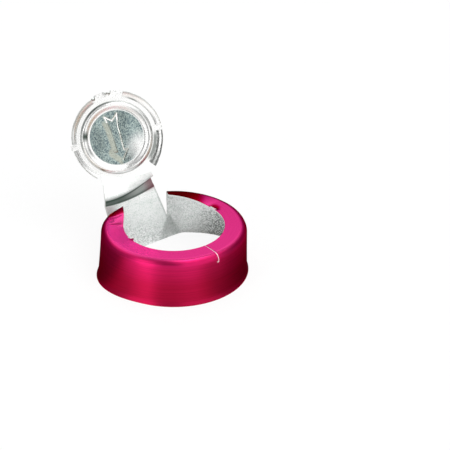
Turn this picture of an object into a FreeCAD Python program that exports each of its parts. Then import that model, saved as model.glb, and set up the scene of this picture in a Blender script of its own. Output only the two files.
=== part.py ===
import FreeCAD, Part
import math
import os

vec = FreeCAD.Vector

# Tear-off aluminium seal for a 20 mm vial, pressed from one 0.2 mm sheet and torn open.
# The origin is the centre of the skirt's bottom rim, +Z is up, +Y points at the torn strip.
# An angle round the ring is measured from +Y towards +X.

# sheet and ring, mm
sheet = 0.2
seal_diameter = 20.7
seal_height = 7.15
hole_diameter = 14.4
corner_bend = 0.9
lip_flare = 0.22
lip_height = 1.3
trim = 0.3

# tear and dents of the ring, mm and degrees
tear_angle = 30.5
tear_height = 3.3
flat_side = 7.8
flat_end = 80.0
flat_blend = 0.5
rim_bulge = 0.85
bulge_right = 80.0
bulge_left = 93.0
dent_end = 120.0
lift_right = 16.0
lift_right_end = 80.0
lift_right_curl = 1.0
lift_left = 41.0
lift_left_end = 62.0
lift_left_curl = 2.6
slump_left = 0.5
slump_end = 52.0
slump_curl = 2.0
strip_foot = 8.95

# score line opposite the strip, mm
score_width = 0.14
score_depth = 0.07
score_drop = 1.5

# bridges that held the panel, mm and degrees
bridge_right = 87.0
bridge_left = 279.0
bridge_width = 0.45
bridge_length = 0.3

# tear-off panel, mm and degrees
rim_radius = 5.75
bead_margin = 1.05
bead_half_width = 0.7
bead_half_top = 0.3
bead_height = 0.36
flange_land = 0.2
flange_reach = 0.85
flange_tilts = [50.0, 28.0, 40.0, 36.0]
lip_reach = 1.05
lip_half_angle = 20.0
nub_reach = 1.05
nub_half_angle = 3.0
slit = 1.0
neck_width = 7.2
neck_length = 0.25
neck_half_angle = 36.0

# pose of the lifted panel, degrees
panel_lean = 26.7
panel_turn = -22.5
panel_roll = 7.5

# the strip from the end of the tears to the panel's neck, mm
strip_rise = 6.8

# lines across the strip: where its middle stands from the foot and how wide it is, in parts of the rise,
# then turn and roll of the line and lean of the sheet in degrees, and outward bow and downward sag in parts
strip_folds = [
    ((-0.082, 0.256, 0.641), 1.3, 0.8, 2.0, 16.0, 0.066, 0.081),
    ((-0.113, 0.281, 0.794), 1.247, 3.5, 7.5, 19.0, 0.044, 0.096),
    ((-0.038, 0.354, 0.929), 1.131, -14.5, 3.5, 28.0, 0.015, 0.044),
]
neck_place = (-0.036, 0.417, 1.0)

# sections along each dented flank and across the strip's foot, and how smoothly they run on
flank_sections = 10
foot_sections = 8
smooth_degree = 3

bead_radius = rim_radius - bead_margin
mid_radius = seal_diameter / 2 - sheet / 2
mid_top = seal_height - sheet / 2
annulus_width = mid_radius - hole_diameter / 2


def unit(x, y):
    length = math.hypot(x, y)
    return x / length, y / length


def offset_side(points, bends, shift, level_start, level_end):
    """Stops along one side of a bent sheet: its middle line moved by shift to its left."""
    legs = [unit(b[0] - a[0], b[1] - a[1]) for a, b in zip(points, points[1:])]
    sides = [(-leg[1], leg[0]) for leg in legs]
    start = (points[0][0] + sides[0][0] * shift, points[0][1] + sides[0][1] * shift)
    if level_start:
        slip = (points[0][1] - start[1]) / legs[0][1]
        start = (start[0] + legs[0][0] * slip, points[0][1])
    end = (points[-1][0] + sides[-1][0] * shift, points[-1][1] + sides[-1][1] * shift)
    if level_end:
        slip = (points[-1][1] - end[1]) / legs[-1][1]
        end = (end[0] + legs[-1][0] * slip, points[-1][1])
    stops = [(start,)]
    for i, bend in enumerate(bends):
        corner = points[i + 1]
        before, after = legs[i], legs[i + 1]
        hand = 1 if before[0] * after[1] > before[1] * after[0] else -1
        inward = unit(sides[i][0] + sides[i + 1][0], sides[i][1] + sides[i + 1][1])
        half_turn = inward[0] * sides[i][0] + inward[1] * sides[i][1]
        to_centre = (bend * hand if bend else shift) / half_turn
        centre = (corner[0] + inward[0] * to_centre, corner[1] + inward[1] * to_centre)
        if bend == 0:
            stops.append((centre,))
        else:
            radius = shift - bend * hand
            normals = (sides[i], inward, sides[i + 1])
            stops.append(tuple((centre[0] + n[0] * radius, centre[1] + n[1] * radius) for n in normals))
    stops.append((end,))
    return stops


def sheet_section(points, bends, place, low=-sheet / 2, high=sheet / 2, level_start=False, level_end=False):
    """Closed wire of a bent sheet between two offsets of its middle line; a bend of 0 is a sharp fold."""
    there = offset_side(points, bends, low, level_start, level_end)
    back = offset_side(points, bends, high, level_start, level_end)
    stops = there + [stop[::-1] for stop in reversed(back)]
    edges = []
    here = stops[-1][-1]
    for stop in stops:
        edges.append(Part.LineSegment(place(*here), place(*stop[0])).toShape())
        if len(stop) == 3:
            edges.append(Part.Arc(*(place(*point) for point in stop)).toShape())
        here = stop[-1]
    return Part.Wire(edges)


def radial_plane(angle):
    """Places (radius, height) in the upright plane at an angle round the ring."""
    a = math.radians(angle)
    return lambda r, z: vec(r * math.sin(a), r * math.cos(a), z)


def rim_at(angle):
    """Middle-line radius of the dented bottom rim: a flat side and a bulge on each flank."""
    round_rim = mid_radius + lip_flare
    a = abs(angle)
    if a >= dent_end:
        return round_rim
    span = bulge_right if angle > 0 else bulge_left
    bulged = round_rim + rim_bulge * math.sin(math.pi * min(1, (dent_end - a) / span)) ** 2
    gap = bulged - flat_side / math.cos(math.radians(min(a, flat_end)))
    return bulged - (gap + math.sqrt(gap * gap + flat_blend ** 2)) / 2


def beside_tear(angle, end, curl):
    """Share that runs from 1 at a tear to 0 at an end angle."""
    return (max(0, end - abs(angle)) / (end - tear_angle)) ** curl


def lift_at(angle):
    """Upward tilt of the top flange beside each tear."""
    if angle > 0:
        return lift_right * beside_tear(angle, lift_right_end, lift_right_curl)
    return lift_left * beside_tear(angle, lift_left_end, lift_left_curl)


def lip_points(angle, top):
    """Rim and knee of the flared lip under a wall that ends at top, with the rim left long for trimming."""
    foot = rim_at(angle) - lip_flare
    up = unit(top[0] - foot, top[1])
    knee = (foot + up[0] * lip_height / 2, up[1] * lip_height / 2)
    slope = (foot + lip_flare - knee[0]) / knee[1]
    return (foot + lip_flare + slope * trim, -trim), knee


def corner_at(angle):
    """Middle-line corner of wall and top; beside the left tear it is pushed down along the wall."""
    slump = slump_left * beside_tear(angle, slump_end, slump_curl) if angle < 0 else 0
    share = slump / mid_top
    return mid_radius + (rim_at(angle) - lip_flare - mid_radius) * share, mid_top - slump


def ring_wire(angle):
    """Section of the sheet from the bottom rim over the corner to the hole's edge."""
    corner = corner_at(angle)
    rim, knee = lip_points(angle, corner)
    lift = math.radians(lift_at(angle))
    edge = (corner[0] - annulus_width * math.cos(lift), corner[1] + annulus_width * math.sin(lift))
    points = [rim, knee, corner, edge]
    return sheet_section(points, [0, corner_bend], radial_plane(angle), level_start=True)


def wall_at_tear():
    """Middle-line radius of the flank's wall where the tear stops."""
    rim, knee = lip_points(tear_angle, (mid_radius, mid_top))
    share = (tear_height - knee[1]) / (mid_top - knee[1])
    return knee[0] + (mid_radius - knee[0]) * share


def base_wire(angle):
    """Skirt below the tears: from the torn flanks' wall to the strip's foot in the middle."""
    side = wall_at_tear() * math.cos(math.radians(tear_angle))
    across = 1 - (angle / tear_angle) ** 2
    top = ((side + (strip_foot - side) * across) / math.cos(math.radians(angle)), tear_height)
    points = [*lip_points(angle, top), top]
    return sheet_section(points, [0], radial_plane(angle), level_start=True, level_end=True)


def front_ring():
    face = Part.Face(ring_wire(dent_end))
    return face.revolve(vec(0, 0, 0), vec(0, 0, -1), 360 - 2 * dent_end)


def side_ring(hand):
    step = (dent_end - tear_angle) / flank_sections
    stations = [tear_angle + step * i for i in range(flank_sections + 1)]
    return Part.makeLoft([ring_wire(hand * a) for a in stations], True, False, False, smooth_degree)


def strip_base():
    step = 2 * tear_angle / foot_sections
    stations = [step * i - tear_angle for i in range(foot_sections + 1)]
    return Part.makeLoft([base_wire(a) for a in stations], True, False, False, smooth_degree)


def sheet_frame(turn, roll, lean):
    """Directions across, up and out of a piece of the sheet."""
    t, r, l = (math.radians(a) for a in (turn, roll, lean))
    across = vec(math.cos(t) * math.cos(r), math.sin(t) * math.cos(r), math.sin(r))
    up = vec(-math.sin(t) * math.sin(l), math.cos(t) * math.sin(l), math.cos(l))
    up = (up - across * up.dot(across)).normalize()
    return across, up, up.cross(across)


def foot_curves(base):
    """Long edges of the band's top between the tears, which the strip grows from."""
    top = [e for e in base.Edges if all(abs(v.Z - tear_height) < 1e-6 for v in e.Vertexes)]
    inner, outer = sorted([e for e in top if e.Length > 2 * sheet], key=lambda e: e.CenterOfMass.y)
    return [outer, inner]


def fold_curves(middle, width, turn, roll, lean, bow, sag):
    """Outer and inner curve of the sheet along one fold of the strip, from left to right."""
    across, up, out = sheet_frame(turn, roll, lean)
    bulge = out * bow - up * sag
    curves = []
    for shift in (sheet / 2, -sheet / 2):
        points = []
        for u in (-1, 0, 1):
            along = across * (width / 2) - bulge * (2 * u)
            line = middle + across * (width / 2 * u) + bulge * (1 - u * u)
            points.append(line + up.cross(along).normalize() * shift)
        curves.append(Part.Arc(*points).toShape())
    return curves


def neck_middle():
    return strip_middle() + vec(*neck_place) * strip_rise


def neck_curves():
    """Long edges of the straight end of the panel's neck."""
    across, up, out = sheet_frame(panel_turn, panel_roll, panel_lean)
    half = across * (neck_width / 2)
    skins = [neck_middle() + out * (sheet / 2), neck_middle() - out * (sheet / 2)]
    return [Part.LineSegment(skin - half, skin + half).toShape() for skin in skins]


def strip_middle():
    """Middle of the straight line between the ends of the two tears."""
    return vec(0, wall_at_tear() * math.cos(math.radians(tear_angle)), tear_height)


def sewn(faces):
    """Closed solid from faces that meet edge to edge."""
    shell = Part.makeShell(faces)
    shell.sewShape()
    solid = Part.makeSolid(shell)
    if solid.Volume < 0:
        solid.reverse()
    return solid


def strip(base):
    """Lifted strip: straight-drawn skins from fold to fold, closed along the torn edges."""
    sections = [foot_curves(base)]
    for place, width, turn, roll, lean, bow, sag in strip_folds:
        middle = strip_middle() + vec(*place) * strip_rise
        size = [width * strip_rise, turn, roll, lean, bow * strip_rise, sag * strip_rise]
        sections.append(fold_curves(middle, *size))
    sections.append(neck_curves())
    faces = [Part.makeRuledSurface(*sections[0]), Part.makeRuledSurface(*sections[-1])]
    for low, high in zip(sections, sections[1:]):
        skins = [Part.makeRuledSurface(low[i], high[i]) for i in (0, 1)]
        faces.extend(skins)
        for side in (min, max):
            lines = []
            for i in (0, 1):
                ends = [side(curve[i].Vertexes, key=lambda v: v.X).Point for curve in (low, high)]
                lines.append(Part.LineSegment(*ends).toShape())
            faces.append(Part.makeRuledSurface(*lines))
    return sewn(faces)


def around(points, bends, start, sweep):
    """Part of the panel turned round its axis, angles measured from the lip towards the right."""
    face = Part.Face(sheet_section(points, bends, radial_plane(start)))
    return face.revolve(vec(0, 0, 0), vec(0, 0, -1), sweep)


def panel():
    """Panel in its own frame: the lip towards +Y, the bare side towards +Z."""
    rise = [(-bead_half_width, 0), (-bead_half_top, bead_height)]
    fall = [(bead_half_top, bead_height), (bead_half_width, 0)]
    bead = [(bead_radius + across, height) for across, height in rise + fall]
    body = around([(0, 0), *bead, (rim_radius, 0)], [0] * len(bead), 0, 360)
    lip = [(rim_radius, 0), (rim_radius + lip_reach, 0)]
    nub = [(rim_radius, 0), (rim_radius + nub_reach, 0)]
    pieces = [around(lip, [], -lip_half_angle, 2 * lip_half_angle)]
    for centre in (90, 270):
        pieces.append(around(nub, [], centre - nub_half_angle, 2 * nub_half_angle))
    knee = rim_radius + flange_land
    sectors = [
        (lip_half_angle, 90 - nub_half_angle),
        (90 + nub_half_angle, 180 - neck_half_angle),
        (180 + neck_half_angle, 270 - nub_half_angle),
        (270 + nub_half_angle, 360 - lip_half_angle),
    ]
    for (start, end), tilt in zip(sectors, flange_tilts):
        t = math.radians(tilt)
        tip = (knee + flange_reach * math.cos(t), flange_reach * math.sin(t))
        pieces.append(around([(rim_radius, 0), (knee, 0), tip], [0], start + slit, end - start - 2 * slit))
    neck_reach = rim_radius + neck_length
    shoulder = math.sqrt(rim_radius**2 - (neck_width / 2) ** 2)
    corner = vec(-neck_width / 2, -neck_reach, -sheet / 2)
    neck = Part.makeBox(neck_width, neck_reach - shoulder, sheet, corner)
    pieces.append(neck.cut(Part.makeCylinder(rim_radius, 2 * sheet, vec(0, 0, -sheet))))
    body = body.fuse(pieces)
    across, up, out = sheet_frame(panel_turn, panel_roll, panel_lean)
    turned = FreeCAD.Rotation(across, up, -out, "ZXY")
    body.Placement = FreeCAD.Placement(neck_middle() + up * neck_reach, turned)
    return body


def joined(first, second, meeting):
    """One solid from two that share an end face at a point: the face goes and the rest is sewn."""
    faces = first.Faces + second.Faces
    return sewn([f for f in faces if f.CenterOfMass.distanceToPoint(meeting) > sheet / 10])


def score_cut():
    """Shallow groove across the top flange and a little way down the wall, opposite the strip."""
    inner_end = (hole_diameter / 2 - sheet, mid_top)
    points = [(mid_radius, mid_top - score_drop), (mid_radius, mid_top), inner_end]
    low = -sheet / 2 - score_depth
    section = sheet_section(points, [corner_bend], radial_plane(180), low, low + 2 * score_depth)
    groove = Part.Face(section).extrude(vec(score_width, 0, 0))
    groove.translate(vec(-score_width / 2, 0, 0))
    return groove


def bridge_stub(angle):
    """Torn bridge left standing in the hole's edge."""
    corner = vec(-bridge_width / 2, hole_diameter / 2 - bridge_length, seal_height - sheet)
    box = Part.makeBox(bridge_width, bridge_length + sheet, sheet, corner)
    box.rotate(vec(0, 0, 0), vec(0, 0, -1), angle)
    return box


os.makedirs("parts", exist_ok=True)
band = strip_base()
tab = joined(strip(band), panel(), neck_middle())
seal = front_ring().fuse([side_ring(1), side_ring(-1), band, tab, bridge_stub(bridge_right)])
below = Part.makeBox(2 * seal_diameter, 2 * seal_diameter, 1, vec(-seal_diameter, -seal_diameter, -1))
seal = seal.cut([score_cut(), bridge_stub(bridge_left), below])
print("solids", len(seal.Solids), "valid", seal.isValid(), "volume", round(seal.Volume, 2))
seal.Solids[0].exportStep("parts/vial_seal.step")
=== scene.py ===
import bpy
import math
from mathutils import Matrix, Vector, noise
from mathutils.kdtree import KDTree


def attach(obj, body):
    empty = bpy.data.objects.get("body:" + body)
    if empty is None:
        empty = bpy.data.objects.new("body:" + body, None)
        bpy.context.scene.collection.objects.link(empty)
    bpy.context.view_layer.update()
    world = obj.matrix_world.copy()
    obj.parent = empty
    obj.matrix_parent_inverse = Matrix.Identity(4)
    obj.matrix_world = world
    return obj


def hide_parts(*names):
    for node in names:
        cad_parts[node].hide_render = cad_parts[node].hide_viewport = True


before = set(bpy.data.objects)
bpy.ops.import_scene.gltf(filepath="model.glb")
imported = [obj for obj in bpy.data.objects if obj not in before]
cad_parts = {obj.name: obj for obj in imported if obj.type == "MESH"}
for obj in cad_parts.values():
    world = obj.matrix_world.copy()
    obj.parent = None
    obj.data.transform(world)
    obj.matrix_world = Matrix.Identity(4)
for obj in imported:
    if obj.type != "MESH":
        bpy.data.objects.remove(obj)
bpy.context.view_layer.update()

mm = 0.001
scene = bpy.context.scene
scene.view_settings.view_transform = "Standard"

# Settings that many nodes share. A colour mix has its share in socket 0, its two colours in 6 and 7,
# and its result in output 2.
colourMix = {"data_type": "RGBA"}
multiply = {"operation": "MULTIPLY"}
multiplyAdd = {"operation": "MULTIPLY_ADD"}


def hexColour(text):  # sRGB hex to linear
    parts = [int(text[i:i + 2], 16) / 255 for i in (1, 3, 5)]
    return tuple(c / 12.92 if c <= 0.04045 else ((c + 0.055) / 1.055) ** 2.4 for c in parts) + (1.0,)


def addNode(tree, kind, settings=None, links=None):  # a node, its settings, and values or links for its sockets
    node = tree.nodes.new(kind)
    for key, value in (settings or {}).items():
        setattr(node, key, value)
    for key, value in (links or {}).items():
        if isinstance(value, bpy.types.NodeSocket):
            tree.links.new(value, node.inputs[key])
        else:
            node.inputs[key].default_value = value
    return node


def newMaterial(name):
    material = bpy.data.materials.new(name)
    material.use_nodes = True
    material.node_tree.nodes.clear()
    return material, material.node_tree


def smoothStep(value, low, high):
    t = min(1.0, max(0.0, (value - low) / (high - low)))
    return t * t * (3 - 2 * t)


def band(value, low, high, soft):  # 1 between low and high, with soft ends
    return smoothStep(value, low - soft, low + soft) * (1 - smoothStep(value, high - soft, high + soft))


def hump(distance, halfWidth):  # 1 in the middle, 0 beyond the half width
    return 0.5 + 0.5 * math.cos(math.pi * distance / halfWidth) if abs(distance) < halfWidth else 0.0


def wander(x, y=0.0, z=0.0):  # smooth noise, the same at each run
    return noise.noise(Vector((x, y, z)))


def turnBetween(angle, start):  # degrees from start to angle, the shorter way round
    return (angle - start + 180) % 360 - 180


def slopeVector(degrees):
    return Vector((math.cos(math.radians(degrees)), math.sin(math.radians(degrees))))


def direction(azimuth, elevation):  # azimuth in degrees from +Y towards +X
    a, e = math.radians(azimuth), math.radians(elevation)
    return Vector((math.sin(a) * math.cos(e), math.cos(a) * math.cos(e), math.sin(e)))


def bentLine(corners, cuts, runs, bends):  # middle line of the sheet: straight runs, true arcs at the corners
    points = [corners[0]]
    for i in range(1, len(corners)):
        start = points[-1]
        last = i == len(corners) - 1
        before = (corners[i] - corners[i - 1]).normalized()
        target = corners[i] if last else corners[i] - before * cuts[i - 1]
        points += [start.lerp(target, s / runs[i - 1]) for s in range(1, runs[i - 1] + 1)]
        if not last:
            after = (corners[i + 1] - corners[i]).normalized()
            leave = corners[i] + after * cuts[i - 1]
            weight = math.sqrt(max(0.0, (1 + before.dot(after)) / 2))
            for s in range(1, bends[i - 1] + 1):
                t = s / bends[i - 1]
                a, b, c = (1 - t) ** 2, 2 * t * (1 - t) * weight, t * t
                points.append((target * a + corners[i] * b + leave * c) / (a + b + c))
    return points


# The pressed ring, in millimetres, with degrees round it from the strip towards +X
ring = {
    "thickness": 0.2,
    "diameter": 20.7,
    "height": 7.15,
    "hole": 14.4,
    "cornerBend": 0.9,
    "lipFlare": 0.22,
    "lipHeight": 1.3,
    "lipBend": 0.3,
    "tearAngle": 30.5,
    "tearHeight": 3.3,
    "flatSide": 7.8,
    "flatEnd": 80.0,
    "flatBlend": 0.5,
    "rimBulge": 0.85,
    "bulgeRight": 80.0,
    "bulgeLeft": 93.0,
    "dentEnd": 120.0,
    "liftRight": (16.0, 80.0, 1.0),    # tilt beside the tear, where it ends, and how it fades
    "liftLeft": (41.0, 62.0, 2.6),
    "slumpLeft": (0.5, 52.0, 2.0),     # the corner pushed down along the wall, mm
    "creaseDepth": 0.05,               # of the two creases beside the left tear
    "scoreAngle": 180.0,
    "scoreHalfWidth": 0.5,             # degrees, 0.15 mm across at the middle of the top
    "scoreDepth": 0.07,
    "scoreDrop": 1.5,
    "bridgeRight": 87.0,               # the right torn bridge stands up as a tab, with a dimple behind it
    "tabHalfWidth": 0.40,
    "tabReach": 0.24,
    "tabRise": 0.40,
    "tabBare": 0.34,                   # half width of the part that has lost its lacquer
    "dimple": 0.16,
    "bridgeLeft": 279.0,               # the left one is torn off and leaves a notch, with a burr beside it
    "notchHalfWidth": 0.34,
    "notchDepth": 0.12,
    "burrLeft": 273.0,
    "burrHalfWidth": 0.42,
    "burrReach": 0.34,
    "burrRise": 0.12,
    "waviness": 0.035,                 # hand-torn sheet is never quite true
    "tearRoughness": 0.06,
    "tearJagEnd": 2.5,                 # degrees from a tear over which its roughness fades
}
midRadius = ring["diameter"] / 2 - ring["thickness"] / 2
midTop = ring["height"] - ring["thickness"] / 2
annulusWidth = midRadius - ring["hole"] / 2
arcScale = math.radians(1) * midRadius    # mm of wall to a degree

lowRuns, lowBend = (3, 8), 4          # rows from the rim to the height where the tears stop
highRuns, highBend = (10, 16), 10     # rows from there to the hole's edge
lowRows = 1 + sum(lowRuns) + lowBend
topRow = lowRows + highRuns[0] + highBend - 1
bridgeRows = 8                        # rows at the hole's edge that the torn bridges reach into


def signed(angle):
    return angle if angle <= 180 else angle - 360


def tearGap(angle):  # degrees to the nearer tear
    return min(angle - ring["tearAngle"], 360 - ring["tearAngle"] - angle)


def alongHole(angle, start):  # millimetres along the hole's edge
    return (angle - start) * math.radians(1) * ring["hole"] / 2


def rimAt(angle):  # dented bottom rim: a flat side and a bulge on each flank
    roundRim = midRadius + ring["lipFlare"]
    a = abs(angle)
    if a >= ring["dentEnd"]:
        return roundRim
    span = ring["bulgeRight"] if angle > 0 else ring["bulgeLeft"]
    bulged = roundRim + ring["rimBulge"] * math.sin(math.pi * min(1, (ring["dentEnd"] - a) / span)) ** 2
    gap = bulged - ring["flatSide"] / math.cos(math.radians(min(a, ring["flatEnd"])))
    return bulged - (gap + math.sqrt(gap * gap + ring["flatBlend"] ** 2)) / 2


def besideTear(angle, full, end, fade):  # full at a tear, nothing at the end angle
    return full * (max(0.0, end - abs(angle)) / (end - ring["tearAngle"])) ** fade


def liftAt(angle):  # the top flange tips up beside each tear
    return besideTear(angle, *(ring["liftRight"] if angle > 0 else ring["liftLeft"]))


def cornerAt(angle):  # where wall and top meet
    slump = 0.0 if angle > 0 else besideTear(angle, *ring["slumpLeft"])
    foot = Vector((rimAt(angle) - ring["lipFlare"], 0))
    return Vector((midRadius, midTop)).lerp(foot, slump / midTop)


def lipCorners(angle, top):  # rim and knee of the flared lip under a wall that ends at top
    foot = rimAt(angle) - ring["lipFlare"]
    up = Vector((top.x - foot, top.y)).normalized()
    return Vector((foot + ring["lipFlare"], 0)), Vector((foot, 0)) + up * ring["lipHeight"] / 2


def place(angle, flat):  # (radius, height) in the upright plane at an angle
    a = math.radians(angle)
    return Vector((flat.x * math.sin(a), flat.x * math.cos(a), flat.y))


def wallAtTear():
    top = Vector((midRadius, midTop))
    knee = lipCorners(ring["tearAngle"], top)[1]
    return knee.lerp(top, (ring["tearHeight"] - knee.y) / (top.y - knee.y)).x


def tearJag(angle, along):  # degrees by which the torn edge strays, along it from where the tear stops
    degreesPerMm = 5.6
    fade = max(0.0, 1 - tearGap(angle) / ring["tearJagEnd"])
    seed = 7.3 if signed(angle) > 0 else 31.7
    stray = wander(along * 9, seed) * min(1, 12 * along)
    return fade * degreesPerMm * ring["tearRoughness"] * stray


def ringColumn(angle):  # points up the wall and across the top at an angle
    s = signed(angle)
    corner = cornerAt(s)
    rim, knee = lipCorners(s, corner)
    stop = knee.lerp(corner, (ring["tearHeight"] - knee.y) / (corner.y - knee.y))
    lift = math.radians(liftAt(s))
    holeEdge = corner + Vector((-math.cos(lift), math.sin(lift))) * annulusWidth
    low = bentLine([rim, knee, stop], [ring["lipBend"]], lowRuns, [lowBend])
    turn = (corner - stop).normalized().angle((holeEdge - corner).normalized())
    cut = ring["cornerBend"] * math.tan(turn / 2)
    high = bentLine([stop, corner, holeEdge], [cut], highRuns, [highBend])[1:]
    points = [place(angle, p) for p in low]
    for k, p in enumerate(high):
        points.append(place(angle + tearJag(angle, k / (len(high) - 1)), p))
    return points


def ringAngles():  # close together at the tears, the bridges and the score line
    fine, coarse, fineReach, least = 0.45, 1.1, 5, 0.2
    angles = [ring["tearAngle"]]
    while angles[-1] < 360 - ring["tearAngle"]:
        a = angles[-1]
        marks = [abs(a - ring[name]) for name in ("bridgeRight", "bridgeLeft", "burrLeft")]
        near = min(*marks, tearGap(a) / 2)
        angles.append(min(a + (fine if near < fineReach else coarse), 360 - ring["tearAngle"]))
    if angles[-1] - angles[-2] < least:
        angles.pop(-2)
    half, middle = ring["scoreHalfWidth"], ring["scoreAngle"]
    angles = [a for a in angles if abs(a - middle) > 1.6]
    angles += [middle + half * step for step in (-3, -2, -1.15, -0.85, -0.4, 0, 0.4, 0.85, 1.15, 2, 3)]
    return sorted(angles)


# Middle surface of the whole sheet: points, faces, and each face's place on the flat sheet and finish
points, faces, faceUvs, faceMarks = [], [], [], []
lacquerFace, bareFace, edgeFace, cutFace = 0, 1, 2, 3      # places in the mesh's list of materials
outerPush = {}             # moves the lacquered skin alone, as in the score line
levelPoints = set()        # the bottom rim is cut level
tones = {
    "crease": {},          # dark tone: painted shade in folds, creases, dents, grooves and along a torn edge, painted dark reflections on the panel's bead and flanges, and tool marks on the lip and nubs
    "topShare": {},        # 0 on the drawn wall, 1 on the flat top
    "strained": {},        # painted shade: a deeper red on the tipped-up top beside the tears, which reflects darker, and round the dimple behind the tab
    "polished": {},        # painted highlight along the arrow's edges and on its left flank
    "scuffed": {},         # dark specks, densest low on the inside wall at the right and low on the strip
    "blush": {},           # painted reflection of the red lacquer on the bare side
}


def addPoint(p):
    points.append(p)
    return len(points) - 1


def setTones(number, **shares):
    for name, share in shares.items():
        tones[name][number] = share


def weave(columns, uvColumns, marks=None):  # quads between columns of point numbers that run up the sheet
    for k in range(len(columns) - 1):
        left, right = columns[k], columns[k + 1]
        leftUvs, rightUvs = uvColumns[k], uvColumns[k + 1]
        for j in range(len(left) - 1):
            faces.append((left[j], left[j + 1], right[j + 1], right[j]))
            faceUvs.append((leftUvs[j], leftUvs[j + 1], rightUvs[j + 1], rightUvs[j]))
            faceMarks.append(marks(k, j) if marks else lacquerFace)


def runLengths(line):
    total = [0.0]
    for a, b in zip(line, line[1:]):
        total.append(total[-1] + (b - a).length)
    return total


def handWave(p):  # how far the wall strays inwards, most at mid height
    out = Vector((p.x, p.y, 0)).normalized()
    wave = noise.noise(p * 0.33 + Vector((3, 9, 4)))
    return -out * ring["waviness"] * (0.5 + 0.5 * wave) * min(1, p.z / 2) * hump(p.z - 3.6, 3.4)


def flankCrease(gap, across):  # two creases that run beside the left tear, pressed when the strip was pulled
    first = hump(gap - 12 + 4 * across, 1.3) * (1 - smoothStep(across, 0.75, 0.95))
    second = hump(gap - 21 + across, 1.5) * smoothStep(across, 0.05, 0.25) * (1 - smoothStep(across, 0.8, 1))
    return max(first, second)


def footShade(angle, z):  # painted shade in the fold where the strip's foot leaves the ring, under the right tear
    top = 3.4
    width = 12 * (1 - z / top) + 1.5
    return 0.36 * smoothStep(1 - abs(angle - 32) / width, 0, 0.4) if z < top else 0.0


def tearBridges(line, angle):  # tab, dimple, notch and burr at the hole's edge
    fromTab = alongHole(angle, ring["bridgeRight"])
    tab = smoothStep(ring["tabHalfWidth"] - abs(fromTab), 0.0, 0.16)
    notch = smoothStep(ring["notchHalfWidth"] - abs(alongHole(angle, ring["bridgeLeft"])), 0.0, 0.3)
    burr = hump(alongHole(angle, ring["burrLeft"]), ring["burrHalfWidth"])
    for row in range(bridgeRows + 1):
        j = len(line) - 1 - bridgeRows + row
        t = row / bridgeRows
        dent = hump(fromTab + 0.2, 1.2) * hump(t - 0.5, 0.5)
        inward = -Vector((line[j].x, line[j].y, 0)).normalized()
        reach = (ring["tabReach"] * tab + ring["burrReach"] * burr - ring["notchDepth"] * notch) * t ** 4
        rise = ring["tabRise"] * tab * t ** 5 + ring["burrRise"] * burr * t ** 4 - ring["dimple"] * dent
        line[j] = line[j] + inward * reach + Vector((0, 0, rise))


def toneRing(number, angle, row, across):
    s, z, gap = signed(angle), points[number].z, tearGap(angle)
    top = smoothStep(row, topRow - 5, topRow)
    # painted shade: a dark line along the lower end of the corner bend
    cornerLine = 0.25 * hump(row - topRow + 5, 3)
    if s > 0:
        # the tipped-up top beside the right tear is given a deeper red, painted shade of its darker reflection
        pull = 1 - smoothStep(s, 57 + 8 * across, 67 + 10 * across)
        # painted shade round the dimple behind the tab: darker and a deeper red
        dimple = hump((angle - ring["bridgeRight"] + 1.5) / 8.5, 1) * hump(across - 0.72, 0.36)
        # dark specks: some over the whole inside, most low on the wall at the right
        rubbed = max(0.9 * band(s, 60, 128, 16) * (1 - smoothStep(z, 3.4, 6.2)), 0.24)
        setTones(number, topShare=top, strained=max(pull * top, min(1, 2 * dimple)), scuffed=rubbed,
                 crease=max(0.75 * dimple, cornerLine, footShade(s, z)))
    else:
        # the tipped-up top beside the left tear is given a deeper red, painted shade of its darker reflection
        pull = 1 - smoothStep(gap - 3 * (1 - across), 5.0, 7.0)
        # painted shade along the two creases beside the left tear, and darker at the burr
        burr = hump(alongHole(angle, ring["burrLeft"]) + 0.05, 0.5) * hump(across - 0.94, 0.2)
        setTones(number, topShare=top, strained=pull * top,
                 crease=max(cornerLine, 0.75 * flankCrease(gap, across) * top, 0.8 * burr))


def pressScore(column, angle):  # the score line is pressed into the lacquered skin alone
    inside = ring["scoreHalfWidth"] - abs(angle - ring["scoreAngle"])
    depth = ring["scoreDepth"] * smoothStep(inside, 0, 0.12)
    end = midTop - ring["scoreDrop"]
    for n in column:
        if inside > 0 and points[n].z > end:
            outerPush[n] = -depth * smoothStep(points[n].z, end, end + 0.3)


def ringMark(angle, z, fromHole):  # the tab, the score line and the hook at its end are cut through the lacquer
    beyond, half = angle - ring["scoreAngle"], ring["scoreHalfWidth"]
    height = z - midTop + ring["scoreDrop"] - 0.1
    tab = abs(alongHole(angle, ring["bridgeRight"])) < ring["tabBare"] and fromHole <= 4
    line = height > 0 and abs(beyond) < half
    hook = 0 < height < 0.3 and 0 < beyond < 3 * half
    return cutFace if tab or line or hook else lacquerFace


def weaveRing():
    angles = ringAngles()
    columns, uvs = [], []
    for a in angles:
        line = ringColumn(a)
        uvs.append([(a * arcScale, v) for v in runLengths(line)])
        hole = len(line) - 1
        shares = [max(0.0, (j - topRow) / (hole - topRow)) for j in range(len(line))]    # across the top
        for j, p in enumerate(line):
            line[j] = p + handWave(p)
            if j > topRow and signed(a) < 0:
                line[j].z -= ring["creaseDepth"] * flankCrease(tearGap(a), shares[j])
        tearBridges(line, a)
        column = [addPoint(p) for p in line]
        for j, n in enumerate(column):
            toneRing(n, a, j, shares[j])
        pressScore(column, a)
        levelPoints.add(column[0])
        columns.append(column)

    def mark(k, j):
        return ringMark((angles[k] + angles[k + 1]) / 2, points[columns[k][j]].z, len(columns[k]) - j)

    weave(columns, uvs, mark)
    print("ring woven:", len(faces), "faces")
    return columns


ringColumns = weaveRing()

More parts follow.
